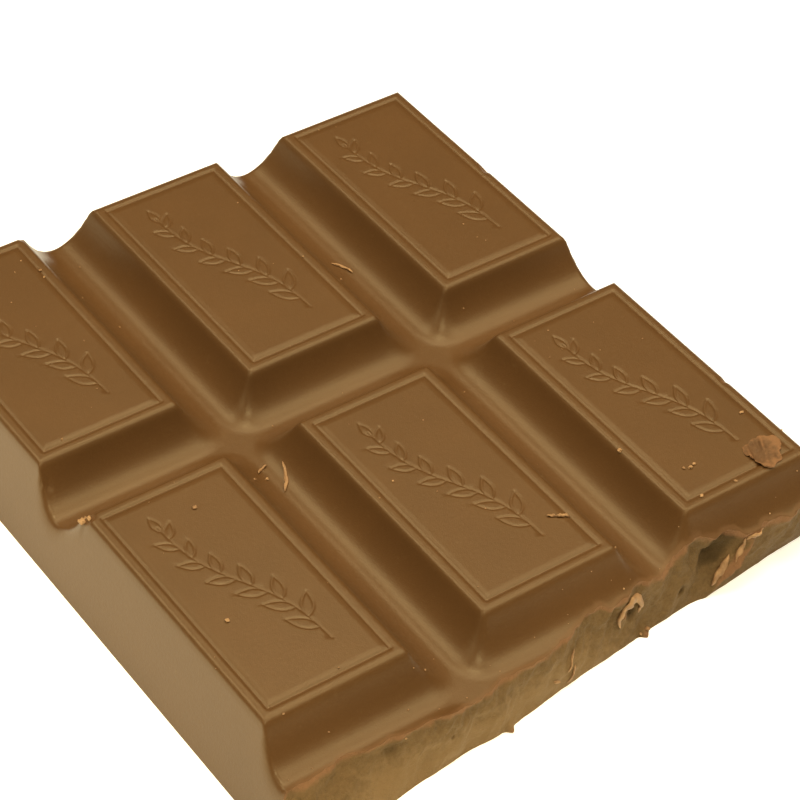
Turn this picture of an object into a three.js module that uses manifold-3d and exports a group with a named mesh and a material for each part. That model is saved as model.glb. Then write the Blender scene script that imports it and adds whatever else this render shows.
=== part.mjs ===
// A piece of a moulded milk chocolate bar, snapped off along one of its grooves.
// It is one solid: a drafted slab whose top is divided by rounded grooves into two rows of
// three oblong segments, with a sunk border line and a small leafy sprig pressed into each.
// Millimetres, +Z up. X runs along a row of three segments. Y runs from the broken front to the
// moulded far end. The origin is under the middle of the piece, on the surface it lies on.

import * as THREE from 'three';
import { mergeVertices } from 'three/addons/utils/BufferGeometryUtils.js';
import Module from 'manifold-3d';

const wasm = await Module();
wasm.setup();

// Layout of the segments.
const COLUMNS = 3;
const ROWS = 2;
const COLUMN_PITCH = 24;
const ROW_PITCH = 38.7;
const TOP_WIDTH = 15.5;
const TOP_LENGTH = 30.2;

// The slab and its outer walls.
const BAR_HEIGHT = 9.6;
const WALL_RUN = 2.6; // how far a wall leans out from its top edge to its foot
const WALL_EDGE_ROUND = 0.7;
const CORNER_ROUND = 1.4;

// The grooves between the segments.
const GROOVE_DEPTH = 4.15;
const FLANK_ANGLE = THREE.MathUtils.degToRad(57); // slope of a segment's side, from the flat
const GROOVE_EDGE_ROUND = 0.85;

// The sunk border line on each segment's top.
const BORDER_INSET = 1.15;
const BORDER_WIDTH = 0.5;
const BORDER_DEPTH = 0.16;

// The pressed sprig: a stem with leaves on both sides by turns, and one at its tip, all drawn
// as thin sunk lines.
const STEM_LENGTH = 21;
const STEM_TILT = THREE.MathUtils.degToRad(16);
const STEM_SWAY = 0.8;
const STEM_STEPS = 12;
const SIDE_LEAVES = 12;
const LEAF_LENGTH = 3.3;
const LEAF_WIDTH = 1.2;
const LEAF_ANGLE = THREE.MathUtils.degToRad(38);
const LEAF_STEPS = 4;
const SPRIG_LINE = 0.26; // width of the lines
const SPRIG_DEPTH = 0.15;

// The broken front: the line along which the moulded skin snapped, and the line of the face's
// foot, both from left to right. The face between them leans outward on the left and inward on
// the right. Each point is [X, Y], with Y measured from the near edge of the front tops.
const SNAP_LINE = [
  [-36, -4.9], [-25, -4.5], [-20, -4.9], [-13, -5.8], [-8.5, -4.8], [-4, -4.8], [-1, -3.7],
  [6, -2.8], [12, -2.0], [19, -1.9], [23, -2.9], [30, -2.7], [36, -3.1],
];
const FOOT_LINE = [
  [-36, -9.2], [-22, -7.3], [-14, -6.4], [-9, -6.2], [0, -4.8], [6, -4.1], [14, -3.2],
  [19, -3.1], [28, -2.2], [36, -1.5],
];
const CRAG_SIZE = 8.5; // width of the largest crags
const CRAG_HEIGHT = 0.3;
const CRAG_OCTAVES = 4;
const CRAG_SHRINK = 0.56;
const CRAG_AT_FOOT = 0.1; // share of the crags that is left where the face meets the underside
const FACE_COLUMNS = 108;
const FACE_LEVELS = 14;

// Bumps and hollows of the face that stand out from its crags, about a point at X and Z. They
// lean as the crags do: lean is how far they go along X for each millimetre up. A positive
// depth stands out of the face.
const FACE_FEATURES = [
  { x: 18.7, z: 4.0, width: 2.1, height: 1.9, lean: 0.4, depth: -1.2 }, // hollow under the skin
  { x: 21.6, z: 3.2, width: 0.9, height: 3.2, lean: 0.5, depth: 0.8 }, // ridge beside it
  { x: 7.6, z: 3.5, width: 1.5, height: 1.2, lean: 0, depth: 0.6 }, // lifted chip
  { x: 9.4, z: 0.2, width: 0.7, height: 0.7, lean: 0, depth: 0.75 }, // burr at the foot
  { x: -8.6, z: 0.2, width: 0.6, height: 0.6, lean: 0, depth: 0.7 }, // another burr
];

// A flake of chocolate stuck on the front segment of the last column. Its outline swells and
// shrinks round its middle by a few sine waves.
const FLAKE = { x: 28, y: 2.25, radius: 2.05, thickness: 0.62, sunk: 0.12, points: 18 };
const FLAKE_LOBES = [
  { count: 2, share: 0.1, phase: -0.3 },
  { count: 3, share: 0.115, phase: 0.8 },
  { count: 5, share: 0.045, phase: 0.75 },
];

const TAU = 2 * Math.PI;
const SLACK = 1.5; // how far a cutter passes the solid that it cuts
const rowsLength = (ROWS - 1) * ROW_PITCH + TOP_LENGTH;
const topHalfWidth = ((COLUMNS - 1) * COLUMN_PITCH + TOP_WIDTH) / 2;
const footHalfWidth = topHalfWidth + WALL_RUN;
const footFarY = rowsLength + WALL_RUN;
const slabNearY = -16;

// A closed mesh as a solid: only its positions count, and shared corners are merged.
function solid(geometry) {
  const bare = geometry.index ? geometry.toNonIndexed() : geometry.clone();
  bare.deleteAttribute('normal');
  bare.deleteAttribute('uv');
  const merged = mergeVertices(bare, 1e-5);
  return new wasm.Manifold(new wasm.Mesh({
    numProp: 3,
    vertProperties: new Float32Array(merged.attributes.position.array),
    triVerts: new Uint32Array(merged.index.array),
  }));
}

function geometryOf(manifold) {
  const mesh = manifold.getMesh();
  const geometry = new THREE.BufferGeometry();
  geometry.setAttribute('position', new THREE.BufferAttribute(mesh.vertProperties, 3));
  geometry.setIndex(new THREE.BufferAttribute(mesh.triVerts, 1));
  return geometry;
}

// Points of a round of the given radius that joins a level line to a slope, as offsets
// [across, down] from the corner the two lines would meet in, from the level end to the slope.
function roundedCorner(radius, slope, steps) {
  const reach = radius * Math.tan(slope / 2);
  return Array.from({ length: steps + 1 }, (_, i) => {
    const turn = (slope * i) / steps;
    return [reach - radius * Math.sin(turn), radius * (1 - Math.cos(turn))];
  });
}

// The slab before it is grooved: a rounded oblong, drawn in from foot to top, with a rounded
// upper edge. Every level of the extrusion is moved in by the wall's run at its height.
function slab() {
  const nearY = slabNearY;
  const outline = new THREE.Shape();
  const r = CORNER_ROUND;
  outline.moveTo(-footHalfWidth + r, nearY);
  outline.lineTo(footHalfWidth - r, nearY);
  outline.absarc(footHalfWidth - r, nearY + r, r, -Math.PI / 2, 0);
  outline.lineTo(footHalfWidth, footFarY - r);
  outline.absarc(footHalfWidth - r, footFarY - r, r, 0, Math.PI / 2);
  outline.lineTo(-footHalfWidth + r, footFarY);
  outline.absarc(-footHalfWidth + r, footFarY - r, r, Math.PI / 2, Math.PI);
  outline.lineTo(-footHalfWidth, nearY + r);
  outline.absarc(-footHalfWidth + r, nearY + r, r, Math.PI, 1.5 * Math.PI);

  const draft = Math.atan2(BAR_HEIGHT, WALL_RUN);
  const levels = roundedCorner(WALL_EDGE_ROUND, draft, 3)
    .map(([across, down]) => [WALL_RUN + across, BAR_HEIGHT - down])
    .reverse();
  levels.unshift([0, 0]);

  const steps = levels.length - 1;
  const geometry = new THREE.ExtrudeGeometry(outline, {
    depth: 1, steps, bevelEnabled: false, curveSegments: 3,
  });
  const middleY = (nearY + footFarY) / 2;
  const position = geometry.attributes.position;
  for (let i = 0; i < position.count; i += 1) {
    const [inset, height] = levels[Math.round(position.getZ(i) * steps)];
    const x = position.getX(i);
    const y = position.getY(i);
    position.setXYZ(i, x - Math.sign(x) * inset, y - Math.sign(y - middleY) * inset, height);
  }
  return solid(geometry);
}

// The section of a groove, drawn across it: rounded upper edges, straight flanks and a hollow
// floor whose radius follows from the groove's width, depth and slope.
function grooveSection(halfWidth) {
  const slope = FLANK_ANGLE;
  const spare = halfWidth * Math.tan(slope) - GROOVE_DEPTH;
  const floorRadius = spare / (1 / Math.cos(slope) - 1);
  const floorZ = BAR_HEIGHT - GROOVE_DEPTH;
  const floorSteps = 5;

  const half = roundedCorner(GROOVE_EDGE_ROUND, slope, 2)
    .map(([across, down]) => [halfWidth + across, BAR_HEIGHT - down]);
  for (let i = floorSteps; i > 0; i -= 1) {
    const turn = (slope * i) / floorSteps;
    half.push([floorRadius * Math.sin(turn), floorZ + floorRadius * (1 - Math.cos(turn))]);
  }
  const wide = half[0][0];
  const points = [
    [wide, BAR_HEIGHT + SLACK],
    ...half,
    [0, floorZ],
    ...half.map(([across, z]) => [-across, z]).reverse(),
    [-wide, BAR_HEIGHT + SLACK],
  ];
  return new THREE.Shape(points.map(([across, z]) => new THREE.Vector2(across, z)).reverse());
}

// A groove between two columns runs along Y, and one between two rows runs along X.
function columnGroove(x) {
  const section = grooveSection((COLUMN_PITCH - TOP_WIDTH) / 2);
  const length = footFarY - slabNearY + 2 * SLACK;
  const geometry = new THREE.ExtrudeGeometry(section, { depth: length, bevelEnabled: false });
  geometry.rotateX(Math.PI / 2);
  geometry.translate(x, footFarY + SLACK, 0);
  return solid(geometry);
}

function rowGroove(y) {
  const section = grooveSection((ROW_PITCH - TOP_LENGTH) / 2);
  const length = 2 * (footHalfWidth + SLACK);
  const geometry = new THREE.ExtrudeGeometry(section, { depth: length, bevelEnabled: false });
  geometry.rotateX(Math.PI / 2);
  geometry.rotateZ(Math.PI / 2);
  geometry.translate(-length / 2, y, 0);
  return solid(geometry);
}

// The border line of one segment, centred on the segment: a thin oblong ring.
function border() {
  const oblong = (inset) => {
    const x = TOP_WIDTH / 2 - inset;
    const y = TOP_LENGTH / 2 - inset;
    return [[-x, -y], [x, -y], [x, y], [-x, y]].map((p) => new THREE.Vector2(...p));
  };
  const ring = new THREE.Shape(oblong(BORDER_INSET - BORDER_WIDTH / 2));
  ring.holes.push(new THREE.Path(oblong(BORDER_INSET + BORDER_WIDTH / 2)));
  const geometry = new THREE.ExtrudeGeometry(ring, {
    depth: BORDER_DEPTH + SLACK, bevelEnabled: false,
  });
  return geometry.translate(0, 0, BAR_HEIGHT - BORDER_DEPTH);
}

// A flat strip of even width along a line of points.
function strip(points, width) {
  const sides = [1, -1].map((side) => points.map((point, i) => {
    const before = points[Math.max(i - 1, 0)];
    const after = points[Math.min(i + 1, points.length - 1)];
    const across = after.clone().sub(before).normalize().multiplyScalar((side * width) / 2);
    return new THREE.Vector2(point.x + across.y, point.y - across.x);
  }));
  return new THREE.Shape([...sides[0], ...sides[1].reverse()]);
}

// The outline of a leaf along +Y with its foot at the origin: a slim spindle, widest just above
// its middle, and larger than its drawn line by a margin that may be negative.
function spindle(size, margin) {
  const length = LEAF_LENGTH * size + 4 * margin;
  const half = (LEAF_WIDTH * size) / 2 + margin;
  const side = Array.from({ length: LEAF_STEPS - 1 }, (_, i) => {
    const along = (i + 1) / LEAF_STEPS;
    const across = half * Math.sin(Math.PI * along ** 0.85);
    return new THREE.Vector2(across, along * length - 2 * margin);
  });
  const foot = new THREE.Vector2(0, -2 * margin);
  const tip = new THREE.Vector2(0, length - 2 * margin);
  return [foot, ...side, tip, ...side.map((p) => new THREE.Vector2(-p.x, p.y)).reverse()];
}

function leaf(size) {
  const ring = new THREE.Shape(spindle(size, SPRIG_LINE / 2));
  ring.holes.push(new THREE.Path(spindle(size, -SPRIG_LINE / 2)));
  return ring;
}

// The sprig of one segment, centred on the segment: the union of its stem and leaves.
function sprig() {
  const pressing = { depth: SPRIG_DEPTH + SLACK, bevelEnabled: false };
  const stem = new THREE.SplineCurve(Array.from({ length: 9 }, (_, i) => {
    const along = i / 8;
    return new THREE.Vector2(STEM_SWAY * Math.sin(TAU * along), (along - 0.5) * STEM_LENGTH);
  }));
  const stemLine = strip(stem.getSpacedPoints(STEM_STEPS), SPRIG_LINE);
  let pressed = solid(new THREE.ExtrudeGeometry(stemLine, pressing));
  for (let i = 0; i <= SIDE_LEAVES; i += 1) {
    const tip = i === SIDE_LEAVES;
    const along = tip ? 0.97 : 0.08 + (0.84 * i) / (SIDE_LEAVES - 1);
    const foot = stem.getPointAt(along);
    const heading = stem.getTangentAt(along);
    const side = i % 2 === 0 ? 1 : -1;
    const turn = Math.atan2(-heading.x, heading.y) + (tip ? 0 : side * LEAF_ANGLE);
    const size = 1 - 0.35 * along;
    const outlined = new THREE.ExtrudeGeometry(leaf(size), pressing);
    pressed = pressed.add(solid(outlined.rotateZ(turn).translate(foot.x, foot.y, 0)));
  }
  return geometryOf(pressed).rotateZ(STEM_TILT).translate(0, 0, BAR_HEIGHT - SPRIG_DEPTH);
}

// Relief of the broken face at X and Z: waves in turning directions, each bent by a slower one,
// and each finer and lower than the one before.
function crag(x, z) {
  let height = 0;
  let size = CRAG_SIZE;
  let reach = CRAG_HEIGHT;
  for (let octave = 0; octave < CRAG_OCTAVES; octave += 1) {
    const heading = 0.5 + 2.4 * octave;
    const u = (x * Math.cos(heading) + z * Math.sin(heading)) / size;
    const v = (z * Math.cos(heading) - x * Math.sin(heading)) / size;
    height += reach * Math.sin(TAU * u + 1.8 * Math.sin(TAU * 0.6 * v + octave));
    size *= CRAG_SHRINK;
    reach *= CRAG_SHRINK;
  }
  return height;
}

function faceFeatures(x, z) {
  return FACE_FEATURES.reduce((sum, feature) => {
    const across = (x - feature.x - feature.lean * (z - feature.z)) / feature.width;
    const up = (z - feature.z) / feature.height;
    return sum + feature.depth * Math.exp(-2 * (across * across + up * up));
  }, 0);
}

// Y as a function of X on a smooth curve through points that run from left to right.
function smoothLine(line) {
  const curve = new THREE.SplineCurve(line.map((point) => new THREE.Vector2(...point)));
  const points = curve.getPoints(20 * line.length);
  return (x) => {
    const next = points.findIndex((point) => point.x >= x);
    const a = points[Math.max(next - 1, 0)];
    const b = points[Math.max(next, 1)];
    return THREE.MathUtils.mapLinear(x, a.x, b.x, a.y, b.y);
  };
}

// Everything in front of the snap: a block whose back is the broken face.
function brokenOff() {
  const snapY = smoothLine(SNAP_LINE);
  const footY = smoothLine(FOOT_LINE);
  const height = BAR_HEIGHT + 2 * SLACK;
  const width = 2 * (footHalfWidth + 0.5);
  const geometry = new THREE.BoxGeometry(width, 1, height, FACE_COLUMNS, 1, FACE_LEVELS);
  const position = geometry.attributes.position;
  const skinZ = BAR_HEIGHT - GROOVE_DEPTH;
  for (let i = 0; i < position.count; i += 1) {
    const x = position.getX(i);
    const z = position.getZ(i) + BAR_HEIGHT / 2;
    const up = THREE.MathUtils.clamp(z / skinZ, 0, 1);
    const cragShare = THREE.MathUtils.lerp(CRAG_AT_FOOT, 1, Math.sqrt(up));
    const relief = crag(x, z) * cragShare + faceFeatures(x, z);
    const faceY = THREE.MathUtils.lerp(footY(x), snapY(x), up) - relief;
    position.setXYZ(i, x, position.getY(i) > 0 ? faceY : slabNearY - SLACK, z);
  }
  return solid(geometry);
}

// The flake: a thin crumb with an uneven outline and a worn upper edge.
function flake() {
  const outline = Array.from({ length: FLAKE.points }, (_, i) => {
    const turn = (TAU * i) / FLAKE.points;
    const uneven = FLAKE_LOBES.reduce(
      (sum, lobe) => sum + lobe.share * Math.sin(lobe.count * turn + lobe.phase),
      1,
    );
    const radius = FLAKE.radius * uneven;
    return new THREE.Vector2(radius * Math.cos(turn), radius * Math.sin(turn));
  });
  const bevel = FLAKE.thickness / 3;
  const geometry = new THREE.ExtrudeGeometry(new THREE.Shape(outline), {
    depth: FLAKE.thickness - 2 * bevel,
    bevelThickness: bevel,
    bevelSize: bevel,
    bevelOffset: -bevel,
    bevelSegments: 1,
  });
  return solid(geometry.translate(FLAKE.x, FLAKE.y, BAR_HEIGHT - FLAKE.sunk + bevel));
}

function chocolateBar() {
  let bar = slab();
  for (let column = 1; column < COLUMNS; column += 1) {
    bar = bar.subtract(columnGroove((column - COLUMNS / 2) * COLUMN_PITCH));
  }
  for (let row = 0; row < ROWS; row += 1) {
    bar = bar.subtract(rowGroove(row * ROW_PITCH - (ROW_PITCH - TOP_LENGTH) / 2));
  }
  const borderLine = border();
  const pressedSprig = sprig();
  for (let row = 0; row < ROWS; row += 1) {
    for (let column = 0; column < COLUMNS; column += 1) {
      const x = (column - (COLUMNS - 1) / 2) * COLUMN_PITCH;
      const y = row * ROW_PITCH + TOP_LENGTH / 2;
      bar = bar.subtract(solid(borderLine.clone().translate(x, y, 0)));
      bar = bar.subtract(solid(pressedSprig.clone().translate(x, y, 0)));
    }
  }
  bar = bar.subtract(brokenOff()).add(flake());

  const geometry = geometryOf(bar);
  geometry.computeBoundingBox();
  const middle = geometry.boundingBox.getCenter(new THREE.Vector3());
  geometry.translate(-middle.x, -middle.y, -geometry.boundingBox.min.z);
  geometry.computeVertexNormals();

  const chocolate = new THREE.MeshStandardMaterial({
    color: 0x7a5433, roughness: 0.42, metalness: 0, flatShading: true,
  });
  const mesh = new THREE.Mesh(geometry, chocolate);
  mesh.name = 'chocolate_bar';
  return mesh;
}

const piece = new THREE.Group();
piece.add(chocolateBar());

export default piece;
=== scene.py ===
"""A snapped-off piece of moulded milk chocolate, two rows of three segments, on a pale floor."""

import math

import bmesh
import bpy
import numpy as np
from mathutils import Matrix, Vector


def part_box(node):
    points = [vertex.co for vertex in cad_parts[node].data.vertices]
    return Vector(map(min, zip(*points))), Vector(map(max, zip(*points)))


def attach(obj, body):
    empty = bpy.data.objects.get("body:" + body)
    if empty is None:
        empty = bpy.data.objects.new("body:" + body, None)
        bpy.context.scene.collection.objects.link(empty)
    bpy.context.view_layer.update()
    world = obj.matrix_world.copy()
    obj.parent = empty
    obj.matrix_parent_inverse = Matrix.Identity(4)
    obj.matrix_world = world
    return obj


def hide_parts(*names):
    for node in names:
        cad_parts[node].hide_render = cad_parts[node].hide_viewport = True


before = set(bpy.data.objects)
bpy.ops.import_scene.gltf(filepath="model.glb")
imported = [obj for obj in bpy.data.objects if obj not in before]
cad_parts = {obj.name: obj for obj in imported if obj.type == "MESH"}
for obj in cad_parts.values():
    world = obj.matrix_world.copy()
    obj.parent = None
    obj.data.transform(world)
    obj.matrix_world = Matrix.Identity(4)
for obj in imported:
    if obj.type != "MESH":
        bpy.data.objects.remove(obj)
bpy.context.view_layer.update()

# -----------------------------------------------------------------------------
# The piece itself. Tempered milk chocolate, cast upside down in a mould with drafted walls, so
# its top and sides are a satin skin and its underside is the flat back of the cast. It was
# snapped by hand along a groove, which left one rough, matt face. Lengths here are millimetres.

MM = 0.001
COLUMNS, ROWS = 3, 2
COLUMN_PITCH, ROW_PITCH = 24.0, 38.7
TOP_WIDTH, TOP_LENGTH = 15.5, 30.2
BAR_HEIGHT, WALL_RUN = 9.6, 2.6
WALL_EDGE_ROUND, CORNER_ROUND = 0.7, 1.4
GROOVE_DEPTH, EDGE_EASE = 4.15, 0.75   # the second is the depth over which an edge is rounded
EDGE_REACH = 0.46   # how far in on a top its rounded edge may begin
CORNER_POWER = 3.0   # of the distances summed round a segment's corner: more is sharper
MEET_SHARE, MEET_MOST, MEET_FOOT = 0.6, 1.8, 3.0   # how softly a groove's end meets the wall
BORDER_INSET, BORDER_WIDTH, BORDER_DEPTH = 1.15, 0.55, 0.16

foot_half_width = ((COLUMNS - 1) * COLUMN_PITCH + TOP_WIDTH) / 2 + WALL_RUN
foot_far = (ROWS - 1) * ROW_PITCH + TOP_LENGTH + WALL_RUN
groove_half_width = (COLUMN_PITCH - TOP_WIDTH) / 2
column_grooves = [(i - COLUMNS / 2) * COLUMN_PITCH for i in range(1, COLUMNS)]
row_grooves = [i * ROW_PITCH - (ROW_PITCH - TOP_LENGTH) / 2 for i in range(ROWS)]
column_middles = [(i - (COLUMNS - 1) / 2) * COLUMN_PITCH for i in range(COLUMNS)]
row_middles = [i * ROW_PITCH + TOP_LENGTH / 2 for i in range(ROWS)]

# Y of the segments' near edge in the frame, found from the moulded far foot.
bar_low, bar_high = (np.array(corner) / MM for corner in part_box("chocolate_bar"))
near_edge_y = bar_high[1] - foot_far


def rounded_drop(across, slope, radius):
    """Depth below a level top that turns into a straight slope at across = 0, where across grows
    down the slope: nothing, then an arc tangent to both, then tan(slope) times across."""
    reach = radius * math.tan(slope / 2)
    into = np.clip(across + reach, 0, radius * math.sin(slope))
    arc = radius - np.sqrt(radius ** 2 - into ** 2)
    return np.where(into < radius * math.sin(slope), arc, np.tan(slope) * across)


def groove_drop(out):
    """Depth of a groove at a distance out from a segment's edge: a parabola that is level in the
    groove's middle, eased into the level top over the last bit of its depth."""
    inward = 1 - np.minimum(out / groove_half_width, 1)
    hollow = GROOVE_DEPTH * (1 - inward ** 2)
    return np.maximum(hollow, 0) + np.maximum(EDGE_EASE - np.abs(hollow), 0) ** 2 / (4 * EDGE_EASE)


def from_nearest(value, places):
    """Offset of each value from the nearest of some places on the same axis."""
    offsets = np.array([value - place for place in places])
    nearest = np.argmin(np.abs(offsets), axis=0)
    return np.take_along_axis(offsets, nearest[None], axis=0)[0]


def oblong_gap(past_x, past_y):
    """Distance to the edge of an oblong from how far a point is past its sides: by Pythagoras
    outside, and that to the nearer side, as a negative number, inside."""
    outside = np.hypot(np.maximum(past_x, 0), np.maximum(past_y, 0))
    return outside + np.minimum(np.maximum(past_x, past_y), 0)


def wall_inset(x, y):
    """Distance in from the foot's outline, an oblong with rounded far corners, open in front."""
    return CORNER_ROUND - oblong_gap(np.abs(x) - (foot_half_width - CORNER_ROUND),
                                     y - (foot_far - CORNER_ROUND))


def pressed(gap, width):
    """Share from 0 to 1 of a sunk line's depth, by the distance from its middle: half a cosine."""
    return 0.5 + 0.5 * np.cos(np.pi * np.clip(np.abs(gap) / (width / 2), 0, 1))


# The sprig pressed into each segment: a swaying stem with leaves on both sides by turns and one
# at its tip, all drawn as thin sunk lines. Each leaf is the outline of a slim spindle.
STEM_LENGTH, STEM_SWAY = 21.0, 0.8
STEM_TILT = math.radians(16)
SIDE_LEAVES, LEAF_LENGTH, LEAF_WIDTH = 12, 3.3, 1.2
FIRST_LEAF, LEAF_SPAN, TIP_LEAF = 0.08, 0.84, 0.97   # shares of the stem's length
LEAF_SHRINK = 0.35   # how much smaller a leaf would be at the very tip
LEAF_BELLY = 0.85   # power of the share along a leaf: below 1 it is widest nearer its foot
LEAF_ANGLE = math.radians(38)
SPRIG_LINE, SPRIG_DEPTH = 0.38, 0.085   # width and depth of the lines
SPRIG_FINENESS = [(0.46, 2), (0.21, 1)]   # how far round the lines the mesh is cut, and how often


def stem_point(along):
    """Point of the stem at a share of its length: a straight line with a full sine to the side."""
    return STEM_SWAY * np.sin(2 * np.pi * along), (along - 0.5) * STEM_LENGTH


def sprig_leaves():
    """Foot, heading and size of each leaf, from the foot of the stem to its tip."""
    for i in range(SIDE_LEAVES + 1):
        tip = i == SIDE_LEAVES
        along = TIP_LEAF if tip else FIRST_LEAF + LEAF_SPAN * i / (SIDE_LEAVES - 1)
        x, y = stem_point(along)
        lean = STEM_SWAY * 2 * math.pi * math.cos(2 * math.pi * along)
        heading = math.atan2(-lean, STEM_LENGTH)
        if not tip:
            heading += LEAF_ANGLE * (1 if i % 2 == 0 else -1)
        yield x, y, heading, 1 - LEAF_SHRINK * along


def sprig_gap(x, y):
    """Distance to the nearest drawn line of a sprig, at points about a segment's middle. Beside a
    leaf it is how far the point is from the leaf's half width, eased by the outline's slant."""
    turned_x = x * math.cos(STEM_TILT) + y * math.sin(STEM_TILT)
    turned_y = y * math.cos(STEM_TILT) - x * math.sin(STEM_TILT)
    along = np.clip(turned_y / STEM_LENGTH + 0.5, 0, 1)
    stem_x, stem_y = stem_point(along)
    gap = np.hypot(turned_x - stem_x, turned_y - stem_y)
    for foot_x, foot_y, heading, size in sprig_leaves():
        dx, dy = turned_x - foot_x, turned_y - foot_y
        length, widest = LEAF_LENGTH * size, LEAF_WIDTH / 2 * size
        ahead = (dy * math.cos(heading) - dx * math.sin(heading)) / length
        side = np.abs(dx * math.cos(heading) + dy * math.sin(heading))
        inside = np.clip(ahead, 0, 1)
        bent = np.pi * inside ** LEAF_BELLY
        slant = widest / length * LEAF_BELLY * np.pi * np.cos(bent)
        off_line = np.abs(side - widest * np.sin(bent)) / np.hypot(1, slant)
        gap = np.minimum(gap, np.hypot(off_line, np.abs(ahead - inside) * length))
    return gap


EDGE_CHIPS = [   # X, Y, radius and depth of small bites knocked out of the moulded edges
    (-31.5, 30.0, 0.65, 0.3), (-31.5, 37.6, 0.5, 0.2), (31.5, 12.4, 0.5, 0.22),
    (7.9, 54.0, 0.5, 0.2), (-16.2, 68.6, 0.5, 0.25), (31.5, 52.5, 0.5, 0.3),
]
CHIP_POWER = 0.7   # below 1 a chip is a bowl with steep sides


def mould_height(x, y):
    """Height of the moulded skin. Round a segment's corner the distance to its sides is summed
    as powers, so the corner is sharp above and rounder further down. The outer wall and the
    grooves meet as the lower of the two, eased where they are close, and most halfway down. The
    chips, the border line and the sprig are taken off it."""
    reach = groove_half_width + EDGE_REACH
    out_x = np.maximum(reach - np.abs(from_nearest(x, column_grooves)), 0)
    out_y = np.maximum(reach - np.abs(from_nearest(y, row_grooves)), 0)
    out = (out_x ** CORNER_POWER + out_y ** CORNER_POWER) ** (1 / CORNER_POWER) - EDGE_REACH
    grooved = BAR_HEIGHT - groove_drop(out)

    draft = math.atan2(BAR_HEIGHT, WALL_RUN)
    walled = BAR_HEIGHT - rounded_drop(WALL_RUN - wall_inset(x, y), draft, WALL_EDGE_ROUND)
    lower = np.minimum(grooved, walled)
    soft = np.clip(MEET_SHARE * (BAR_HEIGHT - lower), 0, MEET_MOST)
    soft = np.maximum(soft * np.clip(lower / MEET_FOOT, 0, 1), 1e-6)
    height = lower - np.maximum(soft - np.abs(grooved - walled), 0) ** 2 / (4 * soft)

    for chip_x, chip_y, radius, depth in EDGE_CHIPS:
        apart = np.hypot(x - chip_x, y - chip_y) / radius
        height = height - depth * np.clip(1 - apart ** 2, 0, 1) ** CHIP_POWER

    across = from_nearest(x, column_middles)
    along = from_nearest(y, row_middles)
    to_border = oblong_gap(np.abs(across) - (TOP_WIDTH / 2 - BORDER_INSET),
                           np.abs(along) - (TOP_LENGTH / 2 - BORDER_INSET))
    height = height - BORDER_DEPTH * pressed(to_border, BORDER_WIDTH)
    return height - SPRIG_DEPTH * pressed(sprig_gap(across, along), SPRIG_LINE)


# The snapped face. The skin broke along SNAP_LINE and the face stands on FOOT_LINE, whose points
# are X and Y from left to right. Crags, leaning ribs and a fine grit cover it.
SNAP_LINE = [
    (-36, -4.9), (-25, -4.5), (-20, -4.9), (-13, -5.8), (-8.5, -4.8), (-4, -4.8), (-1, -3.7),
    (6, -2.8), (12, -2.0), (19, -1.9), (23, -2.9), (30, -2.7), (36, -3.1),
]
FOOT_LINE = [
    (-36, -9.2), (-22, -7.3), (-14, -6.4), (-9, -6.2), (0, -4.8), (6, -4.1), (14, -3.2),
    (19, -3.1), (28, -2.2), (36, -1.5),
]
CRAG_SIZE, CRAG_HEIGHT, CRAG_OCTAVES, CRAG_SHRINK, CRAG_AT_FOOT = 8.5, 0.3, 4, 0.56, 0.1
CRAG_HEADING, CRAG_TURN = 0.5, 2.4   # radians, for the largest crags and from size to size
CRAG_BEND, CRAG_BEND_RATE = 1.8, 0.6
RIB_LEAN, RIB_LENGTH = 0.6, 5.0
RIBS = [(2.6, 0.18), (1.1, 0.14)]   # size across and height
GRIT = [(0.9, 0.07), (0.45, 0.055), (0.22, 0.03)]   # size and height
FACE_FEATURES = [   # X, Z, width, height, lean and depth of what stands out of the crags
    (19.2, 4.5, 1.8, 2.1, 0.8, -1.1),     # hollow under the skin
    (20.7, 3.0, 1.1, 2.9, 1.1, 0.8),      # ridge beside it
    (7.6, 3.5, 1.5, 1.2, 0.0, 0.6),       # lifted chip
    (9.4, 0.2, 0.7, 0.7, 0.0, 0.75),      # burrs at the foot
    (-8.6, 0.2, 0.6, 0.6, 0.0, 0.7),
]
FINE_FEATURES = [   # the same, for what is too small to change the outline
    (20.6, 2.9, 0.5, 3.0, 1.1, 0.4),      # crest of the ridge
    (19.9, 6.1, 1.3, 0.9, 1.2, -0.5),     # far end of the hollow
    (8.0, 3.2, 0.8, 0.9, 0.0, -1.0),      # inside of the curled chip
    (6.7, 3.6, 0.35, 0.8, 0.2, 0.35),     # its rim
    (7.6, 4.7, 0.7, 0.3, 0.0, 0.3),
    (9.1, 3.9, 0.3, 0.8, -0.2, 0.4),
    (5.5, 4.3, 0.5, 1.1, 0.2, -0.5),      # slit beside it
    (-0.3, 2.8, 0.35, 1.2, 0.8, 0.3),     # folds
    (-0.2, 1.1, 0.35, 1.0, 0.65, 0.28),
    (-21.5, 4.2, 1.6, 1.0, 0.3, -0.35),   # shaded hollow under the rim
    (14.5, 2.2, 0.36, 0.44, 0.4, -1.1),   # air bubbles
    (-15.2, 3.0, 0.25, 0.25, 0.0, -0.6),
    (27.6, 3.6, 0.22, 0.25, 0.0, -0.5),
]


CURVE_STEPS = 20   # from each point of a line to the next
LATTICE = 256   # values of a noise along each axis, before it repeats
GRIT_SEED = 10


def smooth_line(line, x):
    """Y at X of a Catmull-Rom curve through points that run from left to right."""
    line = np.array(line, float)
    points = np.vstack([2 * line[0] - line[1], line, 2 * line[-1] - line[-2]])
    t = np.linspace(0, 1, CURVE_STEPS, endpoint=False)[:, None]
    curve = np.vstack([
        b + t * (c - a) / 2 + t ** 2 * (a - 2.5 * b + 2 * c - d / 2)
        + t ** 3 * (1.5 * (b - c) + (d - a) / 2)
        for a, b, c, d in zip(points, points[1:], points[2:], points[3:])])
    return np.interp(x, curve[:, 0], curve[:, 1])


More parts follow.
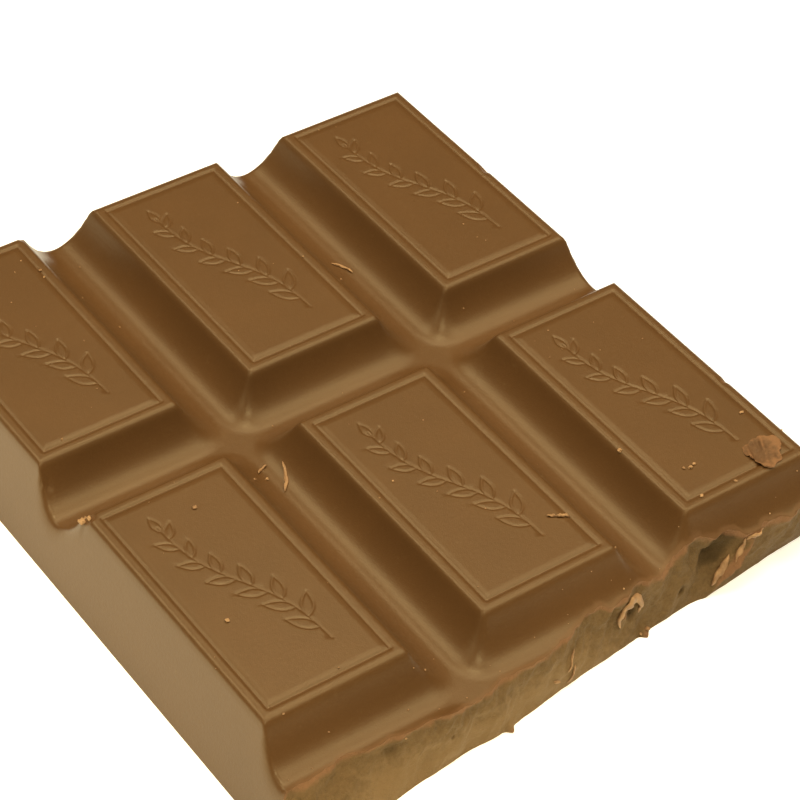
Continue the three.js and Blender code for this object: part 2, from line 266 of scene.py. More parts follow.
def lattice_noise(u, v, seed):
    """Smooth noise from -1 to 1: seeded values at whole numbers, blended by smoothstep."""
    values = np.random.default_rng(seed).uniform(-1, 1, (LATTICE, LATTICE))
    iu, iv = np.floor(u).astype(int), np.floor(v).astype(int)
    fu, fv = u - iu, v - iv
    fu, fv = fu * fu * (3 - 2 * fu), fv * fv * (3 - 2 * fv)
    iu, iv, next_u, next_v = (i % LATTICE for i in (iu, iv, iu + 1, iv + 1))
    a, b, c, d = values[iu, iv], values[next_u, iv], values[iu, next_v], values[next_u, next_v]
    return (a * (1 - fu) + b * fu) * (1 - fv) + (c * (1 - fu) + d * fu) * fv


def stands_out(x, z, features):
    """Sum of leaning bumps and hollows at X and Z. Each is a bell: its depth times e to the power
    of minus twice the squared distance, in its own widths and heights."""
    total = np.zeros_like(x)
    for at_x, at_z, width, height, lean, depth in features:
        across = (x - at_x - lean * (z - at_z)) / width
        total += depth * np.exp(-2 * (across ** 2 + ((z - at_z) / height) ** 2))
    return total


def snapped_face(x, z):
    """Y of the snapped face: a line between the foot and the snapped edge, less crags, which are
    bent waves that turn and shrink, leaning ribs, which are noise folded sharply at zero, a fine
    grit, and the stated features."""
    up = np.clip(z / (BAR_HEIGHT - GROOVE_DEPTH), 0, 1)
    crags = np.zeros_like(x)
    for octave in range(CRAG_OCTAVES):
        shrink = CRAG_SHRINK ** octave
        heading = CRAG_HEADING + CRAG_TURN * octave
        u = (x * math.cos(heading) + z * math.sin(heading)) / (CRAG_SIZE * shrink)
        v = (z * math.cos(heading) - x * math.sin(heading)) / (CRAG_SIZE * shrink)
        bent = 2 * np.pi * u + CRAG_BEND * np.sin(2 * np.pi * CRAG_BEND_RATE * v + octave)
        crags += CRAG_HEIGHT * shrink * np.sin(bent)
    for seed, (size, height) in enumerate(RIBS):
        noise = lattice_noise((x - RIB_LEAN * z) / size, (z + RIB_LEAN * x) / RIB_LENGTH, seed)
        crags += height * (0.5 - np.abs(noise) * 2 ** 0.5)
    for seed, (size, height) in enumerate(GRIT):
        crags += height * lattice_noise(x / size, z / size, GRIT_SEED + seed)
    relief = crags * (CRAG_AT_FOOT + (1 - CRAG_AT_FOOT) * np.sqrt(up))
    relief += stands_out(x, z, FACE_FEATURES) + stands_out(x, z, FINE_FEATURES)
    foot = smooth_line(FOOT_LINE, x)
    return foot + (smooth_line(SNAP_LINE, x) - foot) * up - relief


EDGE_SPAN, HALVINGS = (-11.0, 0.5), 30


def snapped_edge(x):
    """Y where the snapped face meets the skin, found by halving EDGE_SPAN again and again."""
    low, high = (np.full_like(x, end) for end in EDGE_SPAN)
    for _ in range(HALVINGS):
        middle = (low + high) / 2
        in_front = middle < snapped_face(x, mould_height(x, middle))
        low, high = np.where(in_front, middle, low), np.where(in_front, high, middle)
    return (low + high) / 2


TOP_STEP, FLANK_STEP, TOP_RUN = 0.62, 0.3, 8.0   # longest steps, and the least run of a flat top
WALL_KNOTS = np.array([0, 0.4, 0.8, 1.2, 1.6, 2.0, 2.3, 2.46, 2.6, 2.75, 2.95, 3.14])
FLAT_START = 0.6   # Y behind which the rows of the mesh are straight, and before which they fan
FAN_ROWS = 22
FACE_LEVELS, FACE_CUTS = 15, 2   # rows of faces down the snapped face, and cuts made in each
SKIN, BROKEN = 0, 1   # material slots of the piece


def stations(knots, spacing):
    """Places along an axis: all the knots, with even steps no longer than spacing between."""
    knots = np.unique(np.round(knots, 6))
    runs = [np.linspace(a, b, max(2, 1 + math.ceil((b - a) / spacing(a, b) - 1e-9)))[:-1]
            for a, b in zip(knots, knots[1:])]
    return np.append(np.concatenate(runs), knots[-1])


def segment_knots(start, end):
    """Knots across one segment: its border line and rounded edge at both ends."""
    steps = BORDER_WIDTH / 2 * np.array([-1, -0.6, -0.2, 0.2, 0.6, 1])
    near = np.concatenate([EDGE_REACH * np.array([-1, -1 / 3, 1 / 3, 1]), BORDER_INSET + steps])
    return np.concatenate([start + near, end - near])


def skin_step(a, b):
    """Coarse steps on the flat tops, and finer ones on rounds, flanks and floors."""
    return TOP_STEP if b - a > TOP_RUN else FLANK_STEP


x_knots = [segment_knots(m - TOP_WIDTH / 2, m + TOP_WIDTH / 2) for m in column_middles]
x_knots += [g + groove_half_width / 2 * np.array([-1, 0, 1]) for g in column_grooves]
x_knots = np.concatenate(x_knots)
x_knots = x_knots[np.abs(x_knots) < foot_half_width - WALL_KNOTS[-1]]
x_knots = np.concatenate([x_knots, foot_half_width - WALL_KNOTS, WALL_KNOTS - foot_half_width])
y_knots = [segment_knots(m - TOP_LENGTH / 2, m + TOP_LENGTH / 2) for m in row_middles]
y_knots += [g + groove_half_width / 2 * np.array([-1, 0, 1]) for g in row_grooves[1:]]
y_knots = np.concatenate(y_knots)
y_knots = y_knots[(y_knots > FLAT_START) & (y_knots < foot_far - WALL_KNOTS[-1])]
y_knots = np.concatenate([[FLAT_START], y_knots, foot_far - WALL_KNOTS])


def skin_grid():
    """X and Y of the skin's mesh. The first rows fan out from the snapped edge, and the outermost
    far corners are drawn in so that a square maps onto a quarter circle."""
    across = stations(x_knots, skin_step)
    straight = stations(y_knots, skin_step)
    fan = np.linspace(1, 0, FAN_ROWS, endpoint=False)
    x = np.repeat(across[:, None], len(fan) + len(straight), axis=1)
    fanned = FLAT_START + (snapped_edge(across)[:, None] - FLAT_START) * fan
    y = np.hstack([fanned, np.broadcast_to(straight, (len(across), len(straight)))])
    a = np.maximum(np.abs(x) - (foot_half_width - CORNER_ROUND), 0) / CORNER_ROUND
    b = np.maximum(y - (foot_far - CORNER_ROUND), 0) / CORNER_ROUND
    corner = (a > 0) & (b > 0)
    shrink = np.where(corner, np.maximum(a, b) / np.maximum(np.hypot(a, b), 1e-9), 1)
    drawn_x = foot_half_width - CORNER_ROUND + a * shrink * CORNER_ROUND
    x = np.where(corner, np.sign(x) * drawn_x, x)
    y = np.where(corner, foot_far - CORNER_ROUND + b * shrink * CORNER_ROUND, y)
    return x, y


def quads(count_u, count_v, offset=0):
    """Corners of the faces of a grid whose points are numbered along v first."""
    index = np.arange(count_u * count_v).reshape(count_u, count_v) + offset
    return np.stack([index[:-1, :-1], index[1:, :-1], index[1:, 1:], index[:-1, 1:]],
                    axis=-1).reshape(-1, 4)


def finer(bm, faces, cuts):
    """Divides each edge of some faces by a number of cuts and fills them with a grid."""
    edges = list({edge for face in faces for edge in face.edges})
    bmesh.ops.subdivide_edges(bm, edges=edges, cuts=cuts, use_grid_fill=True)


def finer_at_sprigs(bm):
    """Divides the skin's faces round the sprigs' lines, in steps that close in on the lines."""
    for reach, cuts in SPRIG_FINENESS:
        skin_faces = [face for face in bm.faces if face.material_index == SKIN]
        middles = np.array([face.calc_center_median() for face in skin_faces])
        gap = sprig_gap(from_nearest(middles[:, 0], column_middles),
                        from_nearest(middles[:, 1], row_middles))
        finer(bm, [skin_faces[i] for i in np.flatnonzero(gap < reach)], cuts)


LIP_BEHIND, LIP_BELOW = 0.6, 0.9   # width of the pale rim on the skin and on the face
LIP_LEFT, LIP_RIGHT, LIP_NARROW, LIP_GROWTH = 4.0, 20.0, 0.75, 0.6   # it widens from X to X
LIP_PATCH, LIP_LEVEL, LIP_CHANGE = 1.6, 0.9, 0.4   # size, middle and swing of its patches
LIP_SEED, EDGE_SAMPLE = 60, 0.1
BOLD = 0.3   # height or depth from which a feature of the face is tinted: a crest paler, partly as a painted highlight, and a hollow darker, as painted shade
CREST_GAIN, PAINTED_SHADE_GAIN = 1.6, 1.2
CHIP_PALE, CHIP_ZONE = 1.2, 0.8   # strength, and the depth below the tops that it reaches


def paleness(x, y, z, is_face):
    """Share from 0 to 1 of how pale the chocolate is: freshly torn along the snapped edge on both
    sides and in the chips, and on the crests of the face, where it is partly torn colour and
    partly a painted highlight."""
    edge_x = stations(x_knots, lambda a, b: EDGE_SAMPLE)
    edge_y = snapped_edge(edge_x)
    below_edge = np.interp(x, edge_x, mould_height(edge_x, edge_y)) - z
    behind_edge = y - np.interp(x, edge_x, edge_y)
    wider = LIP_NARROW + LIP_GROWTH * np.clip((x - LIP_LEFT) / (LIP_RIGHT - LIP_LEFT), 0, 1)
    from_edge = np.where(is_face, below_edge / (LIP_BELOW * wider), behind_edge / LIP_BEHIND)
    patchy = LIP_LEVEL + LIP_CHANGE * lattice_noise(x / LIP_PATCH, z / LIP_PATCH, LIP_SEED)
    lip = np.clip(1 - from_edge, 0, 1) * patchy
    # The face's crests are painted paler, partly as a painted highlight.
    crests = [feature for feature in FINE_FEATURES + FACE_FEATURES if feature[-1] > BOLD]
    crest = np.clip(CREST_GAIN * stands_out(x, z, crests) ** 2, 0, 1) * is_face
    chip = np.max([np.clip(CHIP_PALE - (np.hypot(x - chip_x, y - chip_y) / radius) ** 2, 0, 1)
                   for chip_x, chip_y, radius, _ in EDGE_CHIPS], axis=0)
    chip = chip * (z > BAR_HEIGHT - CHIP_ZONE)
    return np.clip(np.max([lip, crest, chip], axis=0), 0, 1)


def painted_shade_share(x, z, is_face):
    """Share from 0 to 1 of how deep in one of the face's hollows a point is, where its colour is
    painted darker as shade.
    """
    hollows = [feature for feature in FINE_FEATURES + FACE_FEATURES if feature[-1] < -BOLD]
    return np.clip(-PAINTED_SHADE_GAIN * stands_out(x, z, hollows), 0, 1) * is_face


# Painted light: the snapped face's lower left is painted lighter and more olive, as where the
# floor's glow falls on it.
PAINTED_LIGHT_AT_FOOT, PAINTED_LIGHT_RISE = 1.15, 4.5   # share at the foot, and the height over which 1 is lost
PAINTED_LIGHT_RIGHT, PAINTED_LIGHT_FADE = 11, 14   # X where the painted light ends, and the width over which it fades
PAINTED_LIGHT_LEFT, PAINTED_LIGHT_GATHERS, PAINTED_LIGHT_LEAST = -31, 8, 0.25   # the same on the left, and the share kept


def painted_light_share(x, z, is_face):
    """Share from 0 to 1 of how much lighter the face's lower left is painted, as lit by the
    floor's glow:
    straight slopes upwards, to the right and to the left, multiplied."""
    low = np.clip(PAINTED_LIGHT_AT_FOOT - z / PAINTED_LIGHT_RISE, 0, 1)
    right, left = (PAINTED_LIGHT_RIGHT - x) / PAINTED_LIGHT_FADE, (x - PAINTED_LIGHT_LEFT) / PAINTED_LIGHT_GATHERS
    return is_face * low * np.clip(right, 0, 1) * np.clip(left, PAINTED_LIGHT_LEAST, 1)


def mark(mesh, name, share):
    """Gives each point of a mesh a share that the material looks up by its name."""
    mesh.attributes.new(name, "FLOAT", "POINT").data.foreach_set("value", share)


SAME_POINT, NO_LENGTH = 1e-4, 1e-5   # distances at which mesh points and edges are merged away
SHARP_ANGLE = math.radians(48)
BOX_MARGIN, NEARLY_ONE = 0.01, 0.999


def build_bar():
    """The skin and the snapped face as two grids that share the snapped edge, made finer where
    the sprigs and the crags are, then put on their formulas again and closed by the flat back."""
    x, y = skin_grid()
    z = mould_height(x, y)
    skin = np.stack([x, y, z], axis=-1)
    levels = np.linspace(1, 0, FACE_LEVELS + 1)
    face_x = np.repeat(x[:, :1], FACE_LEVELS + 1, axis=1)
    face_z = z[:, :1] * levels
    face = np.stack([face_x, snapped_face(face_x, face_z), face_z], axis=-1)

    mesh = bpy.data.meshes.new("chocolate_piece")
    points = np.concatenate([skin.reshape(-1, 3), face.reshape(-1, 3)])
    corners = np.concatenate([quads(*x.shape), quads(*face_x.shape, offset=x.size)[:, ::-1]])
    mesh.from_pydata(points.tolist(), [], corners.tolist())
    skin_share, face_share = np.zeros(len(points)), np.zeros(len(points))
    skin_share[:x.size] = 1
    face_share[x.size:] = 1
    skin_share[x.size:].reshape(face_x.shape)[:, 0] = 1
    face_share[:x.size].reshape(x.shape)[:, 0] = 1
    mark(mesh, "on_skin", skin_share)
    mark(mesh, "on_face", face_share)
    skin_faces, face_faces = (x.shape[0] - 1) * (x.shape[1] - 1), (x.shape[0] - 1) * FACE_LEVELS
    slots = np.repeat([SKIN, BROKEN], [skin_faces, face_faces])
    mesh.polygons.foreach_set("material_index", slots)

    bm = bmesh.new()
    bm.from_mesh(mesh)
    bmesh.ops.remove_doubles(bm, verts=bm.verts, dist=SAME_POINT)
    bmesh.ops.dissolve_degenerate(bm, edges=bm.edges, dist=NO_LENGTH)
    finer_at_sprigs(bm)
    finer(bm, [face for face in bm.faces if face.material_index == BROKEN], FACE_CUTS)
    bmesh.ops.holes_fill(bm, edges=[edge for edge in bm.edges if edge.is_boundary], sides=0)
    bmesh.ops.recalc_face_normals(bm, faces=bm.faces)
    bm.to_mesh(mesh)
    bm.free()

    count = len(mesh.vertices)
    points = np.empty(count * 3)
    mesh.vertices.foreach_get("co", points)
    points = points.reshape(-1, 3).astype(float)
    skin_share, face_share = np.empty(count), np.empty(count)
    mesh.attributes["on_skin"].data.foreach_get("value", skin_share)
    mesh.attributes["on_face"].data.foreach_get("value", face_share)
    is_skin, is_face = skin_share > NEARLY_ONE, face_share > NEARLY_ONE
    px, py, pz = points.T
    edge = is_skin & is_face
    py[edge] = snapped_edge(px[edge])
    pz[is_skin] = mould_height(px[is_skin], py[is_skin])
    inner = is_face & ~is_skin
    py[inner] = snapped_face(px[inner], pz[inner])
    mark(mesh, "pale", paleness(px, py, pz, is_face))
    # the face's lower left is painted lighter, as lit by the floor's glow
    mark(mesh, "painted_light", painted_light_share(px, pz, is_face))
    # the face's hollows are painted darker, as shade
    mark(mesh, "hollow", painted_shade_share(px, pz, is_face))
    py[:] = np.maximum(py + near_edge_y, bar_low[1] + BOX_MARGIN)
    pz[:] = np.maximum(pz, 0)
    mesh.vertices.foreach_set("co", (points * MM).ravel())
    mesh.update()
    mesh.shade_smooth()
    mesh.set_sharp_from_angle(angle=SHARP_ANGLE)
    return mesh


def add_piece(name, mesh, *materials):
    """A piece of the object: its mesh, materials, body and finish slot."""
    for material in materials:
        mesh.materials.append(material)
    piece = bpy.data.objects.new(name, mesh)
    bpy.context.scene.collection.objects.link(piece)
    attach(piece, "root")
    return piece


# Its finish. Chocolate's colour drifts slowly over the piece and has a fine grain. Where it is
# freshly torn it is paler and redder, and the face's crests are paler too, partly as a painted
# highlight. The face's hollows are painted darker as shade, and its lower left is painted lighter,
# as lit by the floor's glow. The skin is satin, and the snapped face is matt.
RAGGED_SWING, WHERE_GAIN = 1.1, 1.3   # how much noise and place count in what looks torn
TORN_FROM, TORN_FULL = 0.1, 0.95   # sums of the two between which the tint comes in
FINE_SIZE = 0.3   # of the relief's second noise, as a share of the first one's


def add_node(tree, kind, settings=None, inputs=None):
    """A shader node with its settings, and its inputs as constants or as links."""
    node = tree.nodes.new(kind)
    for name, value in (settings or {}).items():
        setattr(node, name, value)
    for name, value in (inputs or {}).items():
        if isinstance(value, bpy.types.NodeSocket):
            tree.links.new(value, node.inputs[name])
        else:
            node.inputs[name].default_value = value
    return node


def arithmetic(tree, operation, *values):
    """The result of one sum on its values, each a constant or a link, in turn."""
    inputs = dict(enumerate(values))
    return add_node(tree, "ShaderNodeMath", {"operation": operation}, inputs).outputs[0]


def new_group(name, inputs, outputs):
    """An empty shader node group with named sockets, and its input and output nodes."""
    group = bpy.data.node_groups.new(name, "ShaderNodeTree")
    for label, kind, value in inputs:
        socket = group.interface.new_socket(label, in_out="INPUT", socket_type=f"NodeSocket{kind}")
        socket.default_value = value
    for label, kind in outputs:
        group.interface.new_socket(label, in_out="OUTPUT", socket_type=f"NodeSocket{kind}")
    return group, group.nodes.new("NodeGroupInput"), group.nodes.new("NodeGroupOutput")


def noise_of_size(tree, size, detail, roughness=0.5):
    """Noise from 0 to 1 whose lumps have a size in millimetres, in Object coordinates."""
    where = add_node(tree, "ShaderNodeTexCoord").outputs["Object"]
    scale = arithmetic(tree, "DIVIDE", 1 / MM, size)
    return add_node(tree, "ShaderNodeTexNoise", None, {
        "Vector": where, "Scale": scale, "Detail": detail, "Roughness": roughness,
    }).outputs["Fac"]


def tone_group():
    """Cocoa tone: a colour made lighter and darker by slow blotches and by a fine grain."""
    group, given, result = new_group("cocoa_tone", [
        ("Colour", "Color", (0.2, 0.1, 0.03, 1)), ("Blotch Size", "Float", 6.0),
        ("Blotch", "Float", 0.1), ("Grain Size", "Float", 0.3), ("Grain", "Float", 0.1),
    ], [("Colour", "Color")])
    total = 1.0
    for size, strength in (("Blotch Size", "Blotch"), ("Grain Size", "Grain")):
        noise = noise_of_size(group, given.outputs[size], detail=3.0)
        about_zero = arithmetic(group, "SUBTRACT", noise, 0.5)
        total = arithmetic(group, "MULTIPLY_ADD", about_zero, given.outputs[strength], total)
    scaled = add_node(group, "ShaderNodeVectorMath", {"operation": "SCALE"}, {
        0: given.outputs["Colour"], "Scale": total,
    })
    group.links.new(scaled.outputs[0], result.inputs["Colour"])
    return group


def torn_group():
    """Torn edge: a colour turned to another where a share from 0 to 1, made ragged by noise, is
    high, and a mask of it."""
    group, given, result = new_group("torn_edge", [
        ("Colour", "Color", (0.2, 0.1, 0.03, 1)), ("Tint", "Color", (0.4, 0.2, 0.08, 1)),
        ("Where", "Float", 0.0), ("Amount", "Float", 0.8), ("Ragged Size", "Float", 0.5),
    ], [("Colour", "Color"), ("Mask", "Float")])
    noise = noise_of_size(group, given.outputs["Ragged Size"], detail=3.0, roughness=0.6)
    ragged = arithmetic(group, "MULTIPLY_ADD", noise, RAGGED_SWING, -RAGGED_SWING / 2)
    summed = arithmetic(group, "MULTIPLY_ADD", given.outputs["Where"], WHERE_GAIN, ragged)
    eased = add_node(group, "ShaderNodeMapRange", {"interpolation_type": "SMOOTHSTEP"}, {
        "Value": summed, "From Min": TORN_FROM, "From Max": TORN_FULL,
        "To Min": 0.0, "To Max": given.outputs["Amount"],
    })
    mixed = add_node(group, "ShaderNodeMix", {"data_type": "RGBA"}, {
        "Factor": eased.outputs[0], "A": given.outputs["Colour"], "B": given.outputs["Tint"],
    })
    group.links.new(mixed.outputs["Result"], result.inputs["Colour"])
    group.links.new(eased.outputs[0], result.inputs["Mask"])
    return group


def grain_group():
    """Fine relief: a height from 0 to 1 that mixes two sizes of noise by a share."""
    group, given, result = new_group("fine_relief", [
        ("Size", "Float", 0.4), ("Fine Share", "Float", 0.4),
    ], [("Height", "Float")])
    coarse = noise_of_size(group, given.outputs["Size"], detail=2.0)
    smaller = arithmetic(group, "MULTIPLY", given.outputs["Size"], FINE_SIZE)
    fine = noise_of_size(group, smaller, detail=1.0)
    mixed = add_node(group, "ShaderNodeMix", {"data_type": "FLOAT"}, {
        "Factor": given.outputs["Fine Share"], "A": coarse, "B": fine,
    })
    group.links.new(mixed.outputs["Result"], result.inputs["Height"])
    return group


cocoa_tone, torn_edge, fine_relief = tone_group(), torn_group(), grain_group()
MILK_BROWN, TORN_BROWN = (0.111, 0.0525, 0.0168), (0.165, 0.080, 0.032)
# The face's pale tint is its freshly torn colour, and on its crests partly a painted highlight.
FACE_BROWN, CREST_BROWN = (0.163, 0.099, 0.040), (0.29, 0.145, 0.070)
# Painted light and shade: the first of these is a lighter, more olive brown painted on the face's
# lower left, as lit by the floor's glow, and the second a dark brown painted in its hollows as
# shade.
PAINTED_LIGHT_BROWN, PAINTED_SHADE_BROWN = (0.27, 0.173, 0.078), (0.062, 0.038, 0.014)
IN_PAINTED_LIGHT, IN_PAINTED_SHADE = {"Amount": 0.75, "Ragged Size": 0.8}, {"Amount": 0.8, "Ragged Size": 1.0}
TORN_MATT = 0.25   # roughness added where the chocolate is torn
RELIEF_LOW, RELIEF_HIGH = 0.3, 0.7   # heights of the relief that are smoothest and roughest
GLOSS_TINT = (1.0, 0.88, 0.57, 1)


def chocolate(name, colour, pale, roughness, gloss, tone, torn, relief, bump):
    """A chocolate material. Roughness is its lowest and highest value. Tone, torn and relief hold
    the groups' settings, and bump is the relief's height in millimetres. The piece's attributes
    say where the chocolate is painted darker as shade in a hollow, painted lighter on the face's
    lower left as lit by the floor's glow, and paler where it is torn and on the face's crests,
    which is partly a painted highlight."""
    material = bpy.data.materials.new(name)
    material.use_nodes = True
    tree = material.node_tree
    shader = tree.nodes["Principled BSDF"]
    toned = add_node(tree, "ShaderNodeGroup", {"node_tree": cocoa_tone}, {
        "Colour": (*colour, 1), **tone})
    edged = toned
    # Painted shade darkens the face's hollows, painted light brightens its lower left, and the
    # pale tint marks torn chocolate and, partly as a painted highlight, crests.
    for kind, tint, setting in (("hollow", PAINTED_SHADE_BROWN, IN_PAINTED_SHADE),
                                ("painted_light", PAINTED_LIGHT_BROWN, IN_PAINTED_LIGHT), ("pale", pale, torn)):
        place = add_node(tree, "ShaderNodeAttribute", {"attribute_name": kind}).outputs["Fac"]
        edged = add_node(tree, "ShaderNodeGroup", {"node_tree": torn_edge}, {
            "Colour": edged.outputs["Colour"], "Tint": (*tint, 1), "Where": place, **setting})
    tree.links.new(edged.outputs["Colour"], shader.inputs["Base Color"])
    grain = add_node(tree, "ShaderNodeGroup", {"node_tree": fine_relief}, relief)
    matt = add_node(tree, "ShaderNodeMapRange", None, {
        "Value": edged.outputs["Mask"], "To Min": 0.0, "To Max": TORN_MATT})
    rough = add_node(tree, "ShaderNodeMapRange", None, {
        "Value": grain.outputs["Height"], "From Min": RELIEF_LOW, "From Max": RELIEF_HIGH,
        "To Min": roughness[0], "To Max": roughness[1]})
    total = add_node(tree, "ShaderNodeMath", {"operation": "ADD", "use_clamp": True}, {
        0: rough.outputs[0], 1: matt.outputs[0]})
    tree.links.new(total.outputs[0], shader.inputs["Roughness"])
    bumped = add_node(tree, "ShaderNodeBump", None, {
        "Height": grain.outputs["Height"], "Strength": 1.0, "Distance": bump * MM})
    tree.links.new(bumped.outputs["Normal"], shader.inputs["Normal"])
    shader.inputs["Specular IOR Level"].default_value = gloss
    shader.inputs["Specular Tint"].default_value = GLOSS_TINT
    return material


skin_finish = chocolate(
    "moulded_skin", MILK_BROWN, TORN_BROWN, (0.32, 0.39), 0.5,
    {"Blotch Size": 9.0, "Blotch": 0.25, "Grain Size": 0.25, "Grain": 0.22},
    {"Amount": 0.55, "Ragged Size": 1.1}, {"Size": 0.4, "Fine Share": 0.5}, 0.02)
face_finish = chocolate(
    "snapped_face", FACE_BROWN, CREST_BROWN, (0.6, 0.85), 0.25,
    {"Blotch Size": 2.2, "Blotch": 0.5, "Grain Size": 0.35, "Grain": 0.6},
    {"Amount": 0.7, "Ragged Size": 0.9}, {"Size": 0.5, "Fine Share": 0.5}, 0.2)

bar = add_piece("chocolate_piece", build_bar(), skin_finish, face_finish)
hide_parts("chocolate_bar")

# -----------------------------------------------------------------------------
# The flake on the front right segment: a thin chip of the same chocolate that broke off and stuck
# to the skin. It is rippled, and its ragged edge curls up.

FLAKE_X, FLAKE_Y, FLAKE_RADIUS = 28.0, 2.25, 1.95
FLAKE_LOBES = [(2, 0.1, -0.3), (3, 0.115, 0.8), (5, 0.045, 0.75)]   # count, share and phase
FLAKE_NICKS = [(3, 9, 0.08, 20), (8, 29, 0.06, 21)]   # noise's rate, start, share and seed
FLAKE_THICKNESS, FLAKE_THINNING, FLAKE_TOP, FLAKE_SUNK = 0.17, 0.5, 0.48, 0.01
FLAKE_CURL, CURL_MIDDLE, CURL_SWING, CURL_PHASE = 0.2, 0.55, 0.45, 0.6
RIPPLE_HEIGHT, RIPPLE_WIDTH, RIPPLE_LENGTH, RIPPLE_LEAN, RIPPLE_SEED = 0.17, 0.42, 2.2, 0.5, 22
SPECK_HEIGHT, SPECK_SIZE, SPECK_SEED = 0.025, 0.25, 23
FLAKE_EDGE_PALE, RIPPLE_PALE = 0.7, 3.0   # how pale the rim is, and each millimetre of ripple
FLAKE_RINGS, FLAKE_TURNS, FLAKE_HUB = 12, 96, 0.04   # the last is the first ring's share
FLAKE_SHARP_ANGLE = math.radians(50)


def build_flake():
    """A plate in rings. At a share r of its outline's radius the underside stands at a curl that
    grows as r cubed and differs round the plate, and the top a thickness and the ripples above
    it, up to FLAKE_TOP. The thickness halves towards the edge, where a rim joins the two."""
    turn = np.linspace(0, 2 * np.pi, FLAKE_TURNS, endpoint=False)[None, :]
    share = np.linspace(FLAKE_HUB, 1, FLAKE_RINGS)[:, None]
    cosine, sine = np.cos(turn), np.sin(turn)
    ragged = sum(part * lattice_noise(rate * cosine + start, rate * sine + start, seed)
                 for rate, start, part, seed in FLAKE_NICKS)
    outline = 1 + ragged + sum(part * np.sin(n * turn + phase) for n, part, phase in FLAKE_LOBES)
    x = FLAKE_X + FLAKE_RADIUS * share * outline * cosine
    y = FLAKE_Y + FLAKE_RADIUS * share * outline * sine
    curl = FLAKE_CURL * share ** 3 * (CURL_MIDDLE + CURL_SWING * np.sin(2 * turn + CURL_PHASE))
    ripples = RIPPLE_HEIGHT * lattice_noise((x - RIPPLE_LEAN * y) / RIPPLE_WIDTH,
                                            (y + RIPPLE_LEAN * x) / RIPPLE_LENGTH, RIPPLE_SEED)
    ripples += SPECK_HEIGHT * lattice_noise(x / SPECK_SIZE, y / SPECK_SIZE, SPECK_SEED)
    thick = FLAKE_THICKNESS * (1 - FLAKE_THINNING * share ** 2)
    low = BAR_HEIGHT + curl
    high = BAR_HEIGHT + np.minimum(curl + thick + ripples, FLAKE_TOP)
    top = np.stack([x, y, high], axis=-1).reshape(-1, 3)
    under = np.stack([x, y, np.broadcast_to(low, x.shape)], axis=-1).reshape(-1, 3)
    hubs = [[FLAKE_X, FLAKE_Y, BAR_HEIGHT + FLAKE_THICKNESS],
            [FLAKE_X, FLAKE_Y, BAR_HEIGHT - FLAKE_SUNK]]
    points = np.concatenate([top, under, hubs])

    count = x.size
    index = np.arange(count).reshape(FLAKE_RINGS, FLAKE_TURNS)
    index = np.concatenate([index, index[:, :1]], axis=1)
    below = index + count
    rings = index.ravel()[quads(*index.shape)]
    rim = np.concatenate([index[-1], below[-1]])[quads(2, FLAKE_TURNS + 1)]
    sides = np.concatenate([rings, rings[:, ::-1] + count, rim])
    fan = [(2 * count, a, b) for a, b in zip(index[0], index[0, 1:])]
    fan += [(2 * count + 1, b, a) for a, b in zip(below[0], below[0, 1:])]
    mesh = bpy.data.meshes.new("stuck_flake")
    points[:, 1] += near_edge_y
    mesh.from_pydata((points * MM).tolist(), [], sides.tolist() + fan)
    # The rim is paler as a torn edge, and the ripple crests are painted paler, partly as a
    # highlight.
    pale = np.clip(FLAKE_EDGE_PALE * share ** 4 + RIPPLE_PALE * ripples, 0, 1).ravel()
    mark(mesh, "pale", np.concatenate([pale, pale, [0, 0]]))
    mesh.shade_smooth()
    mesh.set_sharp_from_angle(angle=FLAKE_SHARP_ANGLE)
    return mesh


flake_finish = chocolate(
    "flake", (0.125, 0.061, 0.026), (0.27, 0.135, 0.060), (0.5, 0.65), 0.4,
    {"Blotch Size": 1.0, "Blotch": 0.5, "Grain Size": 0.2, "Grain": 0.4},
    {"Amount": 0.8, "Ragged Size": 0.4}, {"Size": 0.3, "Fine Share": 0.4}, 0.03)
add_piece("stuck_flake", build_flake(), flake_finish)

# -----------------------------------------------------------------------------
# The crumbs: small, uneven grains of the same chocolate that broke off when the bar was snapped.
# They lie loose on the segments, in the grooves and in the snapped face, and are thickest just
# behind the snapped edge.

CRUMBS = [   # X, Y and width of each grain that is large enough to tell apart
    (20.5, 4.4, 0.55), (21.1, 4.6, 0.4), (19.9, 4.7, 0.32), (-4.8, 18.4, 0.32), (-22.6, 25.6, 0.5),
    (-27.9, 11.8, 0.55), (-28.3, 40.3, 0.34), (-17.3, 63.2, 0.4), (-17.5, 62.1, 0.34),
    (29.8, 7.7, 0.45), (16.3, 10.1, 0.45), (-13.8, 28.6, 0.34), (-12.4, 28.6, 0.4),
    (-32.0, 30.4, 0.9), (-31.5, 29.9, 0.6), (-31.3, 30.9, 0.5), (18.9, 0.8, 0.42),
    (23.0, 0.6, 0.36),
]
FACE_CRUMBS = [   # X, Z and width of those that cling to the snapped face
    (-2.4, 1.4, 0.65), (9.7, 0.5, 0.5), (8.9, 0.3, 0.4), (-20.0, 5.0, 0.3),
]
STRAYS, STRAY_SIZE, STRAY_SPREAD = 80, 0.1, 0.15   # number, least width and what is added to it
STRAY_X, STRAY_Y = (-32, 32), (-2, 69)
EDGE_SHARE, EDGE_GAP = 0.35, 0.3   # how many lie just behind the snapped edge, and how close
EDGE_GAMMA = (1.5, 1.2)   # shape and scale of the spread of their distance
GRAIN_CORNERS, GRAIN_UNEVEN = 42, 0.3
GRAIN_SLIMMEST, GRAIN_FATTEST = (0.8, 0.55, 0.45), (1.2, 0.95, 0.7)   # in widths, along X, Y, Z
GRAIN_LIFT = 0.22   # height of a grain's middle, in widths
CRUMB_SEED = 7


